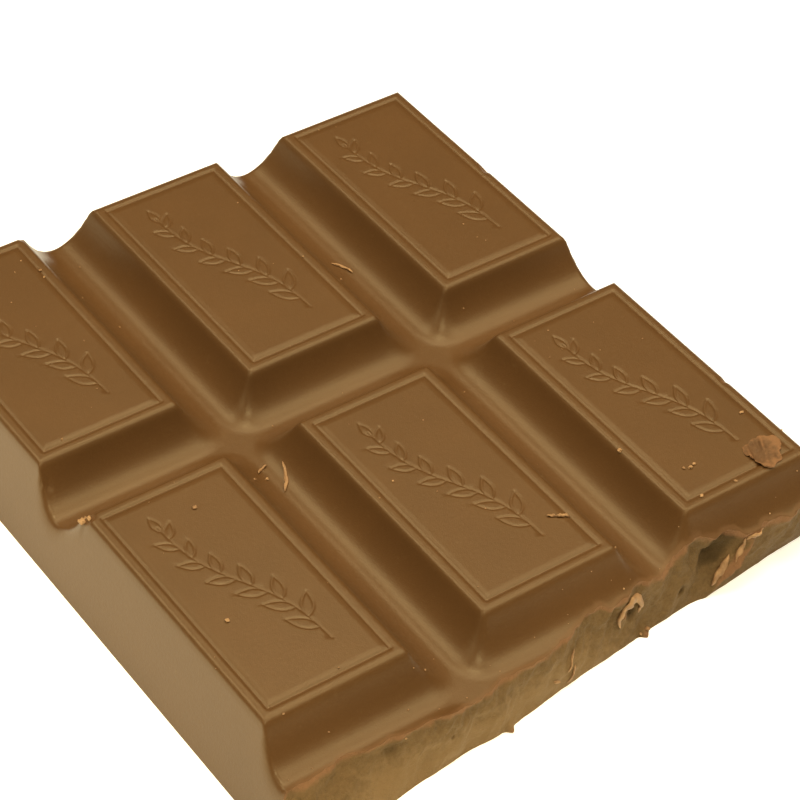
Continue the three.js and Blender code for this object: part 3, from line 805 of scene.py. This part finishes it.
def build_crumbs():
    """Grains as balls of 80 faces whose corners are moved out and in by chance, flattened, turned,
    and set down on the skin or the snapped face."""
    chance = np.random.default_rng(CRUMB_SEED)
    stray = np.column_stack([
        chance.uniform(*STRAY_X, STRAYS), chance.uniform(*STRAY_Y, STRAYS),
        STRAY_SIZE + STRAY_SPREAD * chance.random(STRAYS) ** 2])
    near_edge = chance.random(STRAYS) < EDGE_SHARE
    behind_edge = EDGE_GAP + chance.gamma(*EDGE_GAMMA, near_edge.sum())
    stray[near_edge, 1] = snapped_edge(stray[near_edge, 0]) + behind_edge
    on_face = np.array(FACE_CRUMBS)
    on_face_y = snapped_face(on_face[:, 0], on_face[:, 1])
    ground = np.append(mould_height(*np.vstack([CRUMBS, stray])[:, :2].T), on_face[:, 1])
    grains = np.vstack([CRUMBS, stray, np.column_stack([on_face[:, 0], on_face_y, on_face[:, 2]])])

    bm = bmesh.new()
    bmesh.ops.create_icosphere(bm, subdivisions=2, radius=0.5)
    ball = np.array([vertex.co for vertex in bm.verts])
    faces = np.array([[vertex.index for vertex in face.verts] for face in bm.faces])
    bm.free()
    count = len(grains)
    swell = 1 + GRAIN_UNEVEN * chance.uniform(-1, 1, (count, GRAIN_CORNERS, 1))
    flattened = chance.uniform(GRAIN_SLIMMEST, GRAIN_FATTEST, (count, 3))[:, None]
    shape = ball[None] * swell * flattened
    angle = chance.uniform(0, 2 * np.pi, count)[:, None]
    x = shape[..., 0] * np.cos(angle) - shape[..., 1] * np.sin(angle)
    y = shape[..., 0] * np.sin(angle) + shape[..., 1] * np.cos(angle)
    size = grains[:, 2:3]
    x, y, z = grains[:, :1] + size * x, grains[:, 1:2] + size * y, size * shape[..., 2]
    z = np.maximum(ground[:, None] + z + GRAIN_LIFT * size, 0)
    points = np.stack([x, y + near_edge_y, z], axis=-1).reshape(-1, 3)
    corners = (faces[None] + GRAIN_CORNERS * np.arange(count)[:, None, None]).reshape(-1, 3)
    mesh = bpy.data.meshes.new("crumbs")
    mesh.from_pydata((points * MM).tolist(), [], corners.tolist())
    mark(mesh, "pale", np.repeat(chance.uniform(0, 1, count), GRAIN_CORNERS))
    return mesh


crumb_finish = chocolate(
    "crumb", (0.30, 0.165, 0.075), (0.50, 0.30, 0.14), (0.4, 0.55), 0.5,
    {"Blotch Size": 1.2, "Blotch": 0.5, "Grain Size": 0.2, "Grain": 0.4},
    {"Amount": 0.8, "Ragged Size": 0.3}, {"Size": 0.3, "Fine Share": 0.4}, 0.03)
add_piece("crumbs", build_crumbs(), crumb_finish)

# -----------------------------------------------------------------------------
# The shavings: thin, curled slivers of the same chocolate. Some were scraped off and lie loose on
# the skin. The others were torn up on the snapped face and still cling to it, round its lifted
# chip and along its ridge and folds.

SHAVING_STEPS, SHAVING_SIDES = 24, 10
SHAVING_LIFT, SHAVING_WAVE, SHAVING_WAVES = 0.12, 0.05, 9.0   # heights, and radians of waves
SHAVINGS = [   # start, end, sideways bow and width of each shaving
    ((-10.2, 29.2), (-11.9, 26.2), 0.25, 0.42),
    ((-12.7, 29.6), (-11.4, 30.2), 0.15, 0.3),
    ((11.3, 52.0), (12.4, 49.6), 0.3, 0.35),
    ((5.4, 6.2), (6.6, 5.5), 0.08, 0.5),
    ((4.7, 6.7), (5.4, 6.2), 0.05, 0.36),
]
FACE_STRIPS = [   # X and Z of the points that each torn strip on the face runs through, its width
    ([(6.4, 2.4), (6.3, 3.4), (6.8, 4.4), (7.8, 4.9), (8.8, 4.6), (9.2, 3.6), (8.9, 2.7)], 0.8),
    ([(18.1, 1.2), (18.8, 1.9), (19.3, 2.4), (19.9, 3.1), (20.4, 3.8)], 0.85),
    ([(20.6, 3.3), (21.3, 4.0), (21.8, 4.7), (22.0, 5.4)], 0.65),
    ([(22.1, 5.2), (22.7, 5.4), (23.4, 5.5), (24.3, 5.4)], 0.5),
    ([(-0.9, 0.5), (-0.1, 1.5), (0.1, 2.1)], 0.3),
    ([(-1.0, 2.0), (-0.2, 2.8), (0.3, 3.6)], 0.3),
]
STRIP_THICK, STRIP_TIP = 0.3, 0.03   # half its thickness in widths, and the least sine at a tip
STRIP_TWIST, STRIP_SUNK = 0.5, 0.05   # radians to either side, and depth below the face
STRIP_UNEVEN, STRIP_NOTCHES, STRIP_SEED = 0.35, 9.0, 30
PALE_MIDDLE, PALE_SWING, PALE_PATCH, PALE_SEED = 0.35, 0.35, 0.4, 50


def strip_points(line, across, out, width, seed):
    """Points of a closed strip in rings along a line: flat ellipses, thinner at both ends by the
    root of a sine, made uneven by noise, and twisted to and fro."""
    along = np.linspace(0, 1, SHAVING_STEPS)[:, None]
    around = np.linspace(0, 2 * np.pi, SHAVING_SIDES, endpoint=False)[None, :]
    uneven = 1 + STRIP_UNEVEN * lattice_noise(STRIP_NOTCHES * along, np.cos(around) + 3, seed)
    taper = np.sqrt(np.clip(np.sin(np.pi * along), STRIP_TIP, 1)) * uneven
    flat, thick = width / 2 * taper * np.cos(around), STRIP_THICK * width * taper * np.sin(around)
    twist = STRIP_TWIST * np.sin(2 * np.pi * along + seed)
    side = flat * np.cos(twist) - thick * np.sin(twist)
    rise = flat * np.sin(twist) + thick * np.cos(twist)
    rings = line[:, None] + side[..., None] * across[:, None] + rise[..., None] * out
    return rings.reshape(-1, 3)


def build_shavings():
    """Shavings that lie on the skin along bowed lines, and torn strips that follow the face."""
    along = np.linspace(0, 1, SHAVING_STEPS)
    parts = []
    for start, end, bow, width in SHAVINGS:
        start, course = np.array(start), np.subtract(end, start)
        aside = np.array([-course[1], course[0]]) / np.linalg.norm(course)
        line = start + along[:, None] * course + bow * np.sin(np.pi * along)[:, None] * aside
        height = mould_height(line[:, 0], line[:, 1]) + SHAVING_LIFT
        line = np.column_stack([line, height + SHAVING_WAVE * np.sin(SHAVING_WAVES * along)])
        across = np.broadcast_to([*aside, 0], (SHAVING_STEPS, 3))
        parts.append(strip_points(line, across, (0, 0, 1), width, STRIP_SEED + len(parts)))
    for points, width in FACE_STRIPS:
        points = np.array(points)
        steps = np.append(0, np.cumsum(np.hypot(*np.diff(points, axis=0).T)))
        x, z = (np.interp(along * steps[-1], steps, points[:, i]) for i in (0, 1))
        course = np.gradient(np.column_stack([x, np.zeros_like(x), z]), axis=0)
        course /= np.linalg.norm(course, axis=1, keepdims=True)
        across = np.cross(course, (0, -1, 0))
        line = np.column_stack([x, snapped_face(x, z) - STRIP_SUNK, z])
        parts.append(strip_points(line, across, (0, -1, 0), width, STRIP_SEED + len(parts)))

    ring = np.arange(SHAVING_STEPS * SHAVING_SIDES).reshape(SHAVING_STEPS, -1)
    closed = np.concatenate([ring, ring[:, :1]], axis=1)
    faces = closed.ravel()[quads(*closed.shape)].tolist()
    faces += [ring[0].tolist(), ring[-1, ::-1].tolist()]
    corners = [[index + ring.size * i for index in face]
               for i in range(len(parts)) for face in faces]
    points = np.concatenate(parts)
    points[:, 1] += near_edge_y
    mesh = bpy.data.meshes.new("shavings")
    mesh.from_pydata((points * MM).tolist(), [], corners)
    patches = lattice_noise(points[:, 0] / PALE_PATCH, points[:, 2] / PALE_PATCH, PALE_SEED)
    mark(mesh, "pale", PALE_MIDDLE + PALE_SWING * patches)
    bm = bmesh.new()
    bm.from_mesh(mesh)
    bmesh.ops.recalc_face_normals(bm, faces=bm.faces)
    bm.to_mesh(mesh)
    bm.free()
    mesh.shade_smooth()
    return mesh


add_piece("shavings", build_shavings(), crumb_finish)

# -----------------------------------------------------------------------------
# The studio: a light table whose opal sheet glows, most and warmest on the left, soft lamps all
# round overhead, one small bulb, and a dim room. The camera looks down on the near left corner of
# the front segments. Lengths here are metres, but the camera's are millimetres.

OPAL_WHITE, OPAL_GLOSS, OPAL_ROUGHNESS, OPAL_POWER = (0.80, 0.88, 0.98, 1), 0.2, 0.9, 1.3
GLOW_LEFT, GLOW_RIGHT = (1.0, 0.80, 0.42, 1), (0.33, 0.31, 0.29, 1)
GLOW_FROM, GLOW_TO = -0.06, 0.05   # X between which the glow changes
FLOOR_REACH = 3.0
ROOM_COLOUR = (0.02, 0.017, 0.012, 1)

opal = bpy.data.materials.new("opal_sheet")
opal.use_nodes = True
opal_shader = opal.node_tree.nodes["Principled BSDF"]
opal_shader.inputs["Base Color"].default_value = OPAL_WHITE
opal_shader.inputs["Roughness"].default_value = OPAL_ROUGHNESS
opal_shader.inputs["Specular IOR Level"].default_value = OPAL_GLOSS
opal_shader.inputs["Emission Strength"].default_value = OPAL_POWER
opal_place = add_node(opal.node_tree, "ShaderNodeTexCoord").outputs["Object"]
opal_x = add_node(opal.node_tree, "ShaderNodeSeparateXYZ", None, {0: opal_place}).outputs["X"]
opal_side = add_node(opal.node_tree, "ShaderNodeMapRange", None, {
    "Value": opal_x, "From Min": GLOW_FROM, "From Max": GLOW_TO}).outputs[0]
opal_glow = add_node(opal.node_tree, "ShaderNodeMix", {"data_type": "RGBA"}, {
    "Factor": opal_side, "A": GLOW_LEFT, "B": GLOW_RIGHT,
}).outputs["Result"]
opal.node_tree.links.new(opal_glow, opal_shader.inputs["Emission Color"])
floor_mesh = bpy.data.meshes.new("floor")
floor_corners = FLOOR_REACH * np.array([(-1, -1, 0), (1, -1, 0), (1, 1, 0), (-1, 1, 0)])
floor_mesh.from_pydata(floor_corners.tolist(), [], [(0, 1, 2, 3)])
floor_mesh.materials.append(opal)
floor = bpy.data.objects.new("floor", floor_mesh)
bpy.context.scene.collection.objects.link(floor)

world = bpy.data.worlds.new("studio")
world.use_nodes = True
world.node_tree.nodes["Background"].inputs["Color"].default_value = ROOM_COLOUR
bpy.context.scene.world = world
bpy.context.scene.view_settings.view_transform = "Standard"

LAMP_COLOUR = (1.0, 0.85, 0.60)
LAMPS = [   # name, place, width across and power in watts
    ("overhead", (0.00, 0.05, 1.00), 0.3, 3.2),
    ("over_far_left", (-0.35, 0.50, 0.80), 0.5, 3.7),
    ("over_far_right", (0.25, 0.40, 0.88), 0.4, 2.2),
    ("over_right", (0.50, 0.10, 0.85), 0.5, 2.1),
    ("over_near_right", (0.45, -0.33, 0.83), 0.5, 2.8),
    ("over_front", (0.15, -0.50, 0.85), 0.5, 1.0),
    ("over_left", (-0.75, 0.00, 0.65), 0.5, 1.2),
    ("ceiling_bulb", (-0.26, -0.40, 0.84), 0.10, 2.1),
]


def set_up(thing, place, right, back):
    """Puts a lamp or camera at a place, with its right and its back along two unit vectors and
    its top along their cross product."""
    bpy.context.scene.collection.objects.link(thing)
    turn = np.eye(4)
    turn[:3, :3] = np.column_stack([right, np.cross(back, right), back])
    turn[:3, 3] = place
    thing.matrix_world = Matrix(turn.tolist())


def softbox(name, place, size, power):
    """A round area light at a place, turned to the middle of the piece."""
    light = bpy.data.lights.new(name, "AREA")
    light.shape = "DISK"
    light.size = size
    light.energy = power
    light.color = LAMP_COLOUR
    back = np.array(place) / np.linalg.norm(place)
    right = np.cross((0.1, 1, 0), back)
    set_up(bpy.data.objects.new(name, light), place, right / np.linalg.norm(right), back)


for lamp in LAMPS:
    softbox(*lamp)

LENS, SENSOR, NEAR_CLIP = 130.08, 36.0, 10.0
CAMERA_FROM_CORNER = np.array([-94.80, -137.30, 192.27])   # from the near left corner of the tops
FORWARD = np.array([0.45392, 0.57965, -0.67673])
RIGHT = np.array([0.81302, -0.58023, 0.04835])
camera_data = bpy.data.cameras.new("camera")
camera_data.lens = LENS
camera_data.sensor_width = SENSOR
camera_data.clip_start = NEAR_CLIP * MM
camera = bpy.data.objects.new("camera", camera_data)
near_corner = np.array([WALL_RUN - foot_half_width, near_edge_y, BAR_HEIGHT])
set_up(camera, (near_corner + CAMERA_FROM_CORNER) * MM, RIGHT, -FORWARD)
bpy.context.scene.camera = camera
